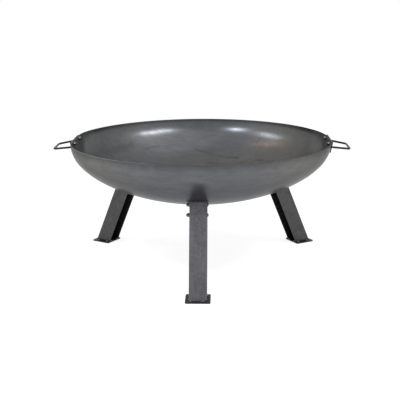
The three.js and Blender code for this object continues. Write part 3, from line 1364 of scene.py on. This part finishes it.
class EdgeWearAndPaintedLight(Effect):
    """Where an edge stands out. Each steel lays its edge colour there: a rubbed edge on the bowl,
    plates, welds and bolts, a painted highlight on the bar's top edge, and painted shade on the legs.
    """

    name = "edge_wear_and_painted_light"
    inputs = {"Radius": 0.001, "Breakup": 140.0}

    def write(self, tree: Tree, given: Given) -> tuple[Feed, ...]:
        """Compares the rounded normal with the true one, and breaks the edge up with noise.

        Args:
            tree: the group's tree.
            given: the group's inputs.

        Returns:
            The mask.
        """
        rounded = tree.add("ShaderNodeBevel", {"Radius": given["Radius"]}, samples=6)
        true = tree.add("ShaderNodeNewGeometry").outputs["Normal"]
        match = tree.vector("DOT_PRODUCT", rounded.outputs["Normal"], true)
        broken = tree.noise(tree.place(), given["Breakup"], detail=3.0)
        broken = tree.ramp(broken, 0.3, 0.6, low=0.35)
        return (tree.math("MULTIPLY", tree.ramp(match, 0.995, 0.86), broken, clamp=True),)


class PaintedCornerShade(Effect):
    """Painted shade: where surfaces come together, found by ambient occlusion, so that the colour can
    be darkened there.
    """

    name = "painted_corner_shade"
    inputs = {"Reach": 0.008}

    def write(self, tree: Tree, given: Given) -> tuple[Feed, ...]:
        """Turns nearness of other surfaces into a mask."""
        near = tree.add("ShaderNodeAmbientOcclusion", {"Distance": given["Reach"]}, samples=8)
        return (tree.ramp(near.outputs["AO"], 0.95, 0.35),)


class Scratches(Effect):
    """Sparse fine scratches in two directions."""

    name = "scratches"
    inputs = {"Size": 0.05, "Offset": (0.0, 0.0, 0.0)}

    def write(self, tree: Tree, given: Given) -> tuple[Feed, ...]:
        """Keeps the thin middle of stretched noise, and only in patches.

        Args:
            tree: the group's tree.
            given: the group's inputs.

        Returns:
            The mask.
        """
        place = tree.vector("ADD", tree.place(), given["Offset"])
        scale = tree.math("DIVIDE", 1.0, given["Size"])
        lines = []
        for squeeze in ((1.0, 9.0, 9.0), (8.0, 1.4, 8.0)):
            drawn = tree.vector("MULTIPLY", place, squeeze)
            drawn = tree.noise(drawn, scale, detail=1.0, distortion=0.25)
            lines.append(tree.both_ways(tree.math("SUBTRACT", drawn, 0.5), 0.006, 0.0))
        patch = tree.ramp(tree.noise(place, tree.times(scale, 0.6), detail=2.0), 0.52, 0.64)
        return (tree.times(tree.math("MAXIMUM", *lines), patch),)


class Streak(Effect):
    """One soft streak between two points, such as a draw mark from the press."""

    name = "streak"
    inputs = {"Start": (0.0, 0.0, 0.0), "End": (0.1, 0.0, 0.0), "Width": 0.01}

    def write(self, tree: Tree, given: Given) -> tuple[Feed, ...]:
        """Measures the distance to the line between the points, and frays it with noise.

        Args:
            tree: the group's tree.
            given: the group's inputs.

        Returns:
            The mask.
        """
        place = tree.place()
        wobble = tree.add("ShaderNodeTexNoise", {"Vector": place, "Scale": 14.0, "Detail": 3.0})
        shift = tree.vector("SUBTRACT", wobble.outputs["Color"], (0.5, 0.5, 0.5))
        place = tree.vector("ADD", place, tree.scaled(shift, 0.06))
        way = tree.vector("SUBTRACT", given["End"], given["Start"])
        here = tree.vector("SUBTRACT", place, given["Start"])
        reached = tree.vector("DOT_PRODUCT", here, way)
        ratio = tree.math("DIVIDE", reached, tree.vector("DOT_PRODUCT", way, way), clamp=True)
        off = tree.vector("DISTANCE", here, tree.scaled(way, ratio))
        return (tree.ramp(tree.math("DIVIDE", off, given["Width"]), 1.0, 0.0),)


class Effects:
    """Every shared effect, built once."""

    def __init__(self) -> None:
        """Builds the groups."""
        self.oil = CloudyOil().build()
        self.grain = FineGrain().build()
        self.wear = EdgeWearAndPaintedLight().build()
        self.painted_corner_shade = PaintedCornerShade().build()
        self.scratches = Scratches().build()
        self.streak = Streak().build()


# ---------------------------------------------------------------- finishes


# About the mean of the cloud and grain masks, and of the smear mask. They keep the mean shade.
TONE_MEAN = 0.5
SMEAR_MEAN = 0.4


@dataclass(frozen=True)
class Steel:
    """Raw steel under a thin film of oil: clouds, rolled grain and rubbed edges, with painted shade in
    the corners. Some finishes lay a painted highlight or painted shade on the edges instead of wear.
    """

    name: str
    colour: Triple
    roughness: float
    cloud_size: float = 0.09
    cloud_depth: float = 0.25
    smear_depth: float = 0.12
    offset: Triple = (0.0, 0.0, 0.0)
    grain_axis: Triple = (0.0, 0.0, 1.0)
    grain_stretch: float = 0.9
    grain_scale: float = 700.0
    grain_depth: float = 0.2
    scratch_depth: float = 0.15
    edge_wear_and_painted_light_colour: Triple = (0.25, 0.25, 0.25)
    edge_share: float = 0.5
    edge_radius: float = 0.9 * MM
    edge_dulling: float = 0.25
    # painted shade: the near-black colour laid in corners, how strongly, and how far it reaches
    painted_shade_colour: Triple = (0.012, 0.011, 0.011)
    painted_shade_share: float = 0.7
    painted_shade_reach: float = 7 * MM
    film: float = 0.12
    film_roughness: float = 0.22
    bump: float = 0.25
    bump_height: float = 0.06 * MM
    smear_sheen: float = 0.08
    cloud_sheen: float = 0.05
    sheen_spread: float = 1.0
    sheen_lift: float = 0.04
    glancing: float = 1.0
    scale_lustre: float = 0.5

    def ground(self, tree: Tree, place: Socket) -> Feed:
        """The steel's own colour before anything has marked it."""
        return self.colour

    def dullness(self, tree: Tree, place: Socket) -> Feed:
        """The steel's roughness before anything has marked it."""
        return self.roughness - self.sheen_lift

    def metal(self, tree: Tree, place: Socket) -> Feed:
        """How much of the surface is bare metal; the rest is dull scale."""
        return 1.0

    def rubbed(self, tree: Tree, place: Socket) -> Feed:
        """How far the edges are rubbed."""
        return self.edge_share

    def marked(
        self, tree: Tree, place: Socket, effects: Effects, colour: Socket
    ) -> Socket:
        """Lays the marks that only one kind of piece has over a colour.

        Args:
            tree: the material's tree.
            place: the object coordinates.
            effects: the shared effects.
            colour: the colour so far.

        Returns:
            The colour with the marks.
        """
        return colour

    def build(self, effects: Effects) -> bpy.types.Material:
        """Builds the material.

        Args:
            effects: the shared effects.

        Returns:
            The material.
        """
        material = bpy.data.materials.new(self.name)
        tree = Tree.of(material)
        place = tree.place()
        oil = tree.effect(effects.oil, Size=self.cloud_size, Offset=self.offset)
        grain = tree.effect(
            effects.grain,
            Axis=self.grain_axis,
            Stretch=self.grain_stretch,
            Scale=self.grain_scale,
        )
        scratch = tree.effect(effects.scratches, Offset=self.offset)["Mask"]
        shade = tree.line(oil["Cloud"], -self.cloud_depth, 1 + TONE_MEAN * self.cloud_depth)
        for factor in (
            tree.line(oil["Smear"], -self.smear_depth, 1 + SMEAR_MEAN * self.smear_depth),
            tree.line(grain["Tone"], self.grain_depth, 1 - TONE_MEAN * self.grain_depth),
            tree.line(scratch, self.scratch_depth, 1.0),
        ):
            shade = tree.times(shade, factor)
        colour = tree.scaled(self.ground(tree, place), shade)
        colour = self.marked(tree, place, effects, colour)
        edge = tree.effect(effects.wear, Radius=self.edge_radius)["Mask"]
        edge = tree.times(edge, self.rubbed(tree, place))
        colour = tree.mixed(edge, colour, self.edge_wear_and_painted_light_colour)
        # Painted shade: corners where surfaces meet are darkened towards a near-black colour.
        corner = tree.effect(effects.painted_corner_shade, Reach=self.painted_shade_reach)["Mask"]
        corner = tree.times(corner, self.painted_shade_share)
        colour = tree.mixed(corner, colour, self.painted_shade_colour)
        rough = self.dullness(tree, place)
        rough = tree.line(oil["Smear"], self.smear_sheen * self.sheen_spread, rough)
        rough = tree.line(oil["Cloud"], self.cloud_sheen * self.sheen_spread, rough)
        worn = tree.math("MAXIMUM", corner, edge)
        rough = tree.line(worn, self.edge_dulling, rough, clamp=True)
        bump = {"Strength": self.bump, "Distance": self.bump_height, "Height": grain["Height"]}
        unrubbed = tree.math("SUBTRACT", 1.0, edge)
        shader_feeds = {
            "Base Color": colour,
            "Metallic": self.metal(tree, place),
            "Roughness": rough,
            "Specular IOR Level": self.scale_lustre,
            "Specular Tint": tree.scaled((self.glancing,) * 3, unrubbed),
            "Coat Weight": tree.times(oil["Cloud"], self.film),
            "Coat Roughness": self.film_roughness,
            "Normal": tree.add("ShaderNodeBump", bump).outputs["Normal"],
        }
        shader = tree.add("ShaderNodeBsdfPrincipled", shader_feeds)
        tree.add("ShaderNodeOutputMaterial", {"Surface": shader.outputs[0]})
        return material


@dataclass(frozen=True)
class BowlSteel(Steel):
    """The bowl's steel, with draw marks from the press. Painted reflection sets its colour by place:
    bluer at the back, browner at the front.
    """

    back_colour_and_painted_reflection: Triple = (0.098, 0.101, 0.108)
    back_ends_colour_and_painted_reflection: Triple = (0.127, 0.130, 0.137)
    front_colour_and_painted_reflection: Triple = (0.117, 0.1155, 0.111)
    left: Triple = (0.112, 0.1165, 0.121)
    flats_scale_and_painted_light: Triple = (0.15, 0.15, 0.15)
    outside: Triple = (0.145, 0.147, 0.157)
    outside_ends_painted_light: Triple = (0.190, 0.189, 0.182)
    rim_painted_highlight: Triple = (0.27, 0.26, 0.235)
    rim_shadow: Triple = (0.018, 0.018, 0.02)
    streak_colour: Triple = (0.035, 0.034, 0.034)
    outside_roughness: float = 0.33
    rim_dulling: float = 0.3
    spun_depth: float = 0.045
    spun_squeeze: Triple = (1.0, 1.0, 12.0)
    spun_scale: float = 12.0
    scale_share: float = 0.6
    outside_scale: float = 0.5
    handle_shade: float = 0.16
    # Painted light and shade on the outside, standing in for reflections:
    outer_low_painted_light_gain: float = 1.75  # lightens the outside low in its middle
    outer_rim_painted_shade_gain: float = 0.7  # darkens it just below the rim
    inner_rim_painted_shade: float = 0.5  # how strongly painted shade darkens the inside just below the rim
    # Each span is where a change starts and where it is complete.
    x_left: Span = (0.0, -0.2)
    x_back_ends: Span = (0.05, 0.22)
    y_front: Span = (0.36, 0.24)
    x_left_handle: Span = (-0.2, -0.37)
    x_right_handle: Span = (0.24, 0.37)
    x_outside_ends: Span = (0.1, 0.32)
    x_rim_painted_highlight: Span = (-0.04, -0.28)
    x_flats: Span = (0.335, 0.375)
    z_low: Span = (0.3, 0.2)
    z_below_rim: Span = (RIM_HEIGHT, 0.355)
    z_scale: Span = (RIM_HEIGHT - 110 * MM, RIM_HEIGHT - 40 * MM)
    z_rim: Span = (RIM_HEIGHT - 1.6 * MM, RIM_HEIGHT - 1 * MM)
    z_inner_rim_painted_shade: Span = (RIM_HEIGHT - 5 * MM, RIM_HEIGHT - 1 * MM)
    focus: Triple = (0.0, 0.0, 0.6)  # a point that only the inner skin looks towards
    facing: Span = (0.05, -0.05)
    streaks: tuple[tuple[Triple, Triple, float, float], ...] = ()

    def ground(self, tree: Tree, place: Socket) -> Feed:
        """Mixes the inside's and the outside's colours by place, and lays a painted highlight on the
        rim's edge on the left.

        Args:
            tree: the material's tree.
            place: the object coordinates.

        Returns:
            The colour.
        """
        inner = self.inner_colour(tree, place)
        outer = self.outer_colour(tree, place)
        skin = tree.mixed(self.inside(tree, place), outer, inner)
        # Painted highlight: a light colour on the rim's edge, on the left side only.
        bright = tree.ramp(tree.apart(place)[0], *self.x_rim_painted_highlight)
        return tree.mixed(tree.times(self.rim(tree, place), bright), skin, self.rim_painted_highlight)

    def inner_colour(self, tree: Tree, place: Socket) -> Socket:
        """The inside's colour, set by place as painted reflection, with painted shade by the handles
        and painted light on the flats.

        Args:
            tree: the material's tree.
            place: the object coordinates.

        Returns:
            The colour.
        """
        x, y, _ = tree.apart(place)
        # Painted reflection: the inside's colour changes by place, bluer and lighter towards the back's
        # ends, browner at the front and greyer towards the left.
        front = tree.mixed(tree.ramp(x, *self.x_left), self.front_colour_and_painted_reflection, self.left)
        back = tree.mixed(tree.both_ways(x, *self.x_back_ends), self.back_colour_and_painted_reflection, self.back_ends_colour_and_painted_reflection)
        inner = tree.mixed(tree.ramp(y, *self.y_front), back, front)
        # Painted shade: near both handles the inside is darkened towards black.
        by_left, by_right = tree.ramp(x, *self.x_left_handle), tree.ramp(x, *self.x_right_handle)
        by_handles = tree.math("MAXIMUM", by_left, by_right)
        inner = tree.mixed(tree.times(by_handles, self.handle_shade), inner, (0.0, 0.0, 0.0))
        # Painted light: the flats are given a lighter colour.
        return tree.mixed(self.scale(tree, place), inner, self.flats_scale_and_painted_light)

    def outer_colour(self, tree: Tree, place: Socket) -> Socket:
        """The outside's colour, with the faint rings that pressing leaves round it. Painted reflection
        lightens it low in its middle and towards its ends, and painted shade darkens it just below the
        rim.

        Args:
            tree: the material's tree.
            place: the object coordinates.

        Returns:
            The colour.
        """
        x, _, z = tree.apart(place)
        # Painted reflection: lighter low in the middle and at the ends, darker just below the rim.
        outer_with_low_painted_light = tree.scaled(self.outside, tree.ramp(z, *self.z_low, 1.0, self.outer_low_painted_light_gain))
        ends = tree.both_ways(x, *self.x_outside_ends)
        outer = tree.mixed(ends, outer_with_low_painted_light, self.outside_ends_painted_light)
        outer = tree.scaled(outer, tree.ramp(z, *self.z_below_rim, self.outer_rim_painted_shade_gain, 1.0))
        squeezed = tree.vector("MULTIPLY", place, self.spun_squeeze)
        spun = tree.noise(squeezed, self.spun_scale, detail=4.0, distortion=0.3)
        rings = tree.ramp(spun, 0.3, 0.7, 1 - self.spun_depth, 1 + self.spun_depth)
        return tree.scaled(outer, rings)

    def dullness(self, tree: Tree, place: Socket) -> Feed:
        """The inside is wiped smoother than the outside, and the rim's edge is left rough.

        Args:
            tree: the material's tree.
            place: the object coordinates.

        Returns:
            The roughness.
        """
        outer = self.outside_roughness - self.sheen_lift
        inner = self.roughness - self.sheen_lift
        skin = tree.ramp(self.inside(tree, place), 0.0, 1.0, outer, inner)
        return tree.line(self.rim(tree, place), self.rim_dulling, skin)

    def metal(self, tree: Tree, place: Socket) -> Feed:
        """The outside, the flats inside and the rim's edge keep some dull scale.

        Args:
            tree: the material's tree.
            place: the object coordinates.

        Returns:
            The share of bare metal.
        """
        inside = self.inside(tree, place)
        flats = tree.times(self.scale(tree, place), inside)
        dull = tree.math("MAXIMUM", flats, self.rim(tree, place))
        dull = tree.math("MAXIMUM", dull, tree.ramp(inside, 1.0, 0.0, 0.0, self.outside_scale))
        return tree.line(dull, -self.scale_share, 1.0)

    def scale(self, tree: Tree, place: Socket) -> Socket:
        """A mask of the dull scale that is left on the flats inside, where no cloth reaches; the flats'
        colour is also painted lighter there, as painted light.
        """
        x, _, z = tree.apart(place)
        return tree.times(tree.ramp(z, *self.z_scale), tree.both_ways(x, *self.x_flats))

    def rim(self, tree: Tree, place: Socket) -> Socket:
        """A mask of the rim's sheared edge."""
        return tree.ramp(tree.apart(place)[2], *self.z_rim)

    def inside(self, tree: Tree, place: Socket) -> Socket:
        """A mask of the bowl's inner skin, whose normals point to its axis.

        Args:
            tree: the material's tree.
            place: the object coordinates.

        Returns:
            The mask.
        """
        normal = tree.add("ShaderNodeNewGeometry").outputs["True Normal"]
        away = tree.vector("SUBTRACT", place, self.focus)
        return tree.ramp(tree.vector("DOT_PRODUCT", normal, away), *self.facing)

    def marked(
        self, tree: Tree, place: Socket, effects: Effects, colour: Socket
    ) -> Socket:
        """Adds the draw marks inside, and a line of painted shade just below the rim.

        Args:
            tree: the material's tree.
            place: the object coordinates.
            effects: the shared effects.
            colour: the colour so far.

        Returns:
            The colour with the marks.
        """
        inside = self.inside(tree, place)
        for start, end, width, share in self.streaks:
            mask = tree.effect(effects.streak, Start=start, End=end, Width=width)["Mask"]
            mask = tree.times(tree.times(mask, share), inside)
            colour = tree.mixed(mask, colour, self.streak_colour)
        # Painted shade: a dark line along the inside just below the rim.
        line = tree.ramp(tree.apart(place)[2], *self.z_inner_rim_painted_shade)
        share = tree.times(line, tree.times(inside, self.inner_rim_painted_shade))
        return tree.mixed(share, colour, self.rim_shadow)


@dataclass(frozen=True)
class LegSteel(Steel):
    """A leg's steel, which darkens towards its foot."""

    foot: float = 0.88
    z_foot: Span = (0.0, 0.17)

    def ground(self, tree: Tree, place: Socket) -> Feed:
        """Darkens the steel's colour towards the ground."""
        shade = tree.ramp(tree.apart(place)[2], *self.z_foot, self.foot, 1.0)
        return tree.scaled(self.colour, shade)


@dataclass(frozen=True)
class BarSteel(Steel):
    """A flat bar's steel, with painted shade on the ends where the bar is sheared off, and a painted
    highlight along its top edge.
    """

    # painted shade: how dark the two ends are painted, for the shadowed gap beside them
    end: float = 0.25
    y_painted_end_shade: Span = (0.6, 0.8)
    z_top: Span = (RIM_HEIGHT - 6 * MM, RIM_HEIGHT - 2 * MM)
    lower_edges: float = 0.1

    def ground(self, tree: Tree, place: Socket) -> Feed:
        """Paints shade on the two ends, which look along Y.

        Args:
            tree: the material's tree.
            place: the object coordinates.

        Returns:
            The colour.
        """
        normal = tree.add("ShaderNodeNewGeometry").outputs["True Normal"]
        shade = tree.both_ways(tree.apart(normal)[1], *self.y_painted_end_shade, 1.0, self.end)
        return tree.scaled(self.colour, shade)

    def rubbed(self, tree: Tree, place: Socket) -> Feed:
        """The top edge gets most of the light edge colour, as a painted highlight; the lower edges get
        little.
        """
        return tree.ramp(tree.apart(place)[2], *self.z_top, self.lower_edges, self.edge_share)


class Finishes:
    """The materials of the whole object, each built once."""

    def __init__(self) -> None:
        """Builds the shared effects and the materials."""
        self.effects = Effects()
        self.bowl = BowlSteel(
            "bowl_steel",
            (0.12, 0.12, 0.12),
            0.29,
            cloud_size=0.16,
            cloud_depth=0.14,
            grain_scale=420.0,
            grain_depth=0.05,
            grain_stretch=0.0,
            edge_share=0.9,
            edge_wear_and_painted_light_colour=(0.07, 0.07, 0.07),
            edge_dulling=0.6,
            painted_shade_reach=6 * MM,
            painted_shade_share=0.3,
            bump=0.04,
            sheen_spread=0.15,
            glancing=0.4,
            scale_lustre=0.05,
            streaks=(
                ((-0.024, 0.326, 0.281), (0.114, 0.279, 0.266), 0.009, 0.4),
                ((0.114, 0.279, 0.266), (0.233, 0.199, 0.269), 0.011, 0.4),
                ((0.009, 0.264, 0.248), (0.128, 0.248, 0.255), 0.014, 0.3),
                ((-0.194, 0.284, 0.293), (-0.154, 0.310, 0.295), 0.009, 0.38),
                ((-0.328, 0.163, 0.313), (-0.246, 0.265, 0.309), 0.028, 0.25),
                ((-0.066, 0.358, 0.311), (0.045, 0.376, 0.329), 0.008, 0.25),
            ),
        ).build(self.effects)
        self.plate = Steel(
            "plate_steel",
            (0.05, 0.05, 0.052),
            0.48,
            cloud_size=0.03,
            grain_scale=500.0,
            edge_wear_and_painted_light_colour=(0.12, 0.12, 0.12),
        ).build(self.effects)
        self.rod = Steel(
            "rod_steel", (0.036, 0.036, 0.037), 0.42, cloud_size=0.03, edge_share=0.0
        ).build(self.effects)
        self.bar = BarSteel(
            "flat_bar_steel",
            (0.055, 0.055, 0.053),
            0.45,
            cloud_size=0.04,
            # painted highlight: a light colour laid on the bar's top edge
            edge_wear_and_painted_light_colour=(0.28, 0.27, 0.245),
            edge_share=0.7,
            edge_radius=0.6 * MM,
        ).build(self.effects)
        self.weld = Steel(
            "weld_metal",
            (0.2, 0.2, 0.2),
            0.32,
            cloud_size=0.012,
            cloud_depth=0.6,
            grain_scale=1500.0,
            grain_depth=0.3,
            scratch_depth=0.0,
            edge_share=0.2,
            painted_shade_reach=2 * MM,
            painted_shade_share=0.5,
        ).build(self.effects)
        self.zinc = Steel(
            "zinc_plate",
            (0.11, 0.11, 0.115),
            0.42,
            cloud_size=0.012,
            cloud_depth=0.3,
            grain_depth=0.15,
            edge_wear_and_painted_light_colour=(0.24, 0.24, 0.25),
            edge_radius=0.5 * MM,
            painted_shade_reach=2 * MM,
        ).build(self.effects)

    def leg(self, angle: float, splay: float) -> bpy.types.Material:
        """The finish of the leg that points at an angle, with its grain along the leg. The front leg's
        colour is painted lighter as a lit copy, and the rear legs' colour darker as a shaded copy.

        Args:
            angle: the leg's turn about +Z from +X, in degrees.
            splay: the leg's lean from the upright.

        Returns:
            The material.
        """
        up = turned(angle) @ Vector((-math.sin(splay), 0, math.cos(splay)))
        return LegSteel(
            f"leg_steel_painted_lit_and_shaded_{round(angle) % 360}",
            # painted light and shade: the front leg is a lighter lit copy, the rear legs a darker
            # shaded copy of one steel
            (0.122, 0.120, 0.133) if angle < 0 else (0.078, 0.078, 0.080),
            0.44,
            cloud_size=0.05,
            cloud_depth=0.22,
            smear_depth=0.14,
            offset=(0.31 * angle, 0.17 * angle, 0.0),
            grain_axis=tuple(up),
            grain_stretch=0.86,
            grain_scale=620.0,
            grain_depth=0.24,
            # painted shade: the legs' rounded edges are darkened almost to black
            edge_wear_and_painted_light_colour=(0.03, 0.03, 0.032),
            edge_radius=1.6 * MM,
            painted_shade_reach=10 * MM,
            painted_shade_share=0.8,
        ).build(self.effects)


# ---------------------------------------------------------------- studio


@dataclass
class Softbox:
    """A rectangular lamp that faces the bowl. Azimuth 0 is in front, and it grows to the right."""

    name: str
    azimuth: float
    elevation: float
    width: float
    height: float
    power: float
    colour: Triple
    distance: float = 2.6

    def light(self, target: Vector) -> None:
        """Hangs the lamp, facing a target.

        Args:
            target: the point that it faces.
        """
        turn, rise = math.radians(self.azimuth), math.radians(self.elevation)
        level = math.cos(rise)
        away = Vector((math.sin(turn) * level, -math.cos(turn) * level, math.sin(rise)))
        lamp = bpy.data.lights.new(self.name, "AREA")
        lamp.shape = "RECTANGLE"
        lamp.size, lamp.size_y = self.width, self.height
        lamp.energy = self.power
        lamp.color = self.colour
        holder = bpy.data.objects.new(self.name, lamp)
        holder.location = target + away * self.distance
        holder.rotation_euler = (-away).to_track_quat("-Z", "Y").to_euler()
        holder.visible_camera = False
        bpy.context.scene.collection.objects.link(holder)


@dataclass
class Studio:
    """The camera, lamps, floor and white surround."""

    eye: Vector = field(default_factory=lambda: Vector((68.0, -2577.0, 840.9)) * MM)
    ahead: Vector = field(default_factory=lambda: Vector((-0.02683, 0.96893, -0.24588)))
    upward: Vector = field(default_factory=lambda: Vector((-0.00152, 0.24593, 0.96929)))
    lens: float = 76.55
    floor_radius: float = 2.6
    floor_albedo: float = 0.5
    floor_glow: float = 0.85
    ambient: float = 0.35
    lit_point: Vector = field(default_factory=lambda: Vector((0, 0, 0.3)))
    lamps: tuple[Softbox, ...] = (
        Softbox("key_softbox", 57.8, 47, 1.3, 0.42, 17.5, (0.93, 0.97, 1.0)),
        Softbox("wide_softbox", 60, 73, 2.8, 2.4, 11, (0.96, 0.98, 1.0)),
        Softbox("left_softbox", -41.5, 43, 0.22, 0.16, 10.5, (0.88, 0.94, 1.0)),
        Softbox("side_softbox", -88, 45, 1.0, 0.36, 7, (0.93, 0.97, 1.0)),
        Softbox("warm_softbox", -121.5, 55, 0.16, 0.7, 1.4, (1.0, 0.66, 0.46)),
    )

    def build(self) -> None:
        """Sets up the camera, the lamps, the floor and the world."""
        self.camera()
        for lamp in self.lamps:
            lamp.light(self.lit_point)
        self.floor()
        self.world()

    def camera(self) -> None:
        """Sets up the camera."""
        data = bpy.data.cameras.new("camera")
        data.lens = self.lens
        data.sensor_width = 36.0
        camera = bpy.data.objects.new("camera", data)
        ahead = self.ahead.normalized()
        right = ahead.cross(self.upward).normalized()
        axes = Matrix((right, right.cross(ahead), -ahead)).transposed()
        camera.matrix_world = Matrix.Translation(self.eye) @ axes.to_4x4()
        bpy.context.scene.collection.objects.link(camera)
        bpy.context.scene.camera = camera

    def floor(self) -> None:
        """Lays the pale floor, which looks white and keeps the object's shadow."""
        floor = circle("floor", 96, self.floor_radius, (0, 0, 0))
        material = bpy.data.materials.new("pale_floor")
        tree = Tree.of(material)
        diffuse = tree.add("ShaderNodeBsdfDiffuse", {"Color": (*(self.floor_albedo,) * 3, 1)})
        strength = tree.times(tree.seen(), self.floor_glow)
        glow = tree.add("ShaderNodeEmission", {"Strength": strength})
        both = tree.add("ShaderNodeAddShader", {0: diffuse.outputs[0], 1: glow.outputs[0]})
        tree.add("ShaderNodeOutputMaterial", {"Surface": both.outputs[0]})
        coated(floor, material)

    def world(self) -> None:
        """Sets the white surround that lights the object softly."""
        world = bpy.data.worlds.new("surround")
        bpy.context.scene.world = world
        tree = Tree.of(world)
        feeds = {"Value": tree.seen(), "To Min": self.ambient, "To Max": 1.0}
        level = tree.add("ShaderNodeMapRange", feeds).outputs[0]
        sky = tree.add("ShaderNodeBackground", {"Color": (1, 1, 1, 1), "Strength": level})
        tree.add("ShaderNodeOutputWorld", {"Surface": sky.outputs[0]})


# ---------------------------------------------------------------- assembly


def main() -> None:
    """Builds the studio and every sub-assembly in order."""
    logging.basicConfig(level=logging.INFO, format="%(name)s: %(message)s")
    Studio().build()
    bpy.context.scene.view_settings.view_transform = "Standard"
    finishes = Finishes()
    bowl = Bowl()
    bowl.build(finishes.bowl)
    Legs(bowl).build(finishes)
    Handles(bowl).build(finishes)


if __name__ == "__main__":
    main()
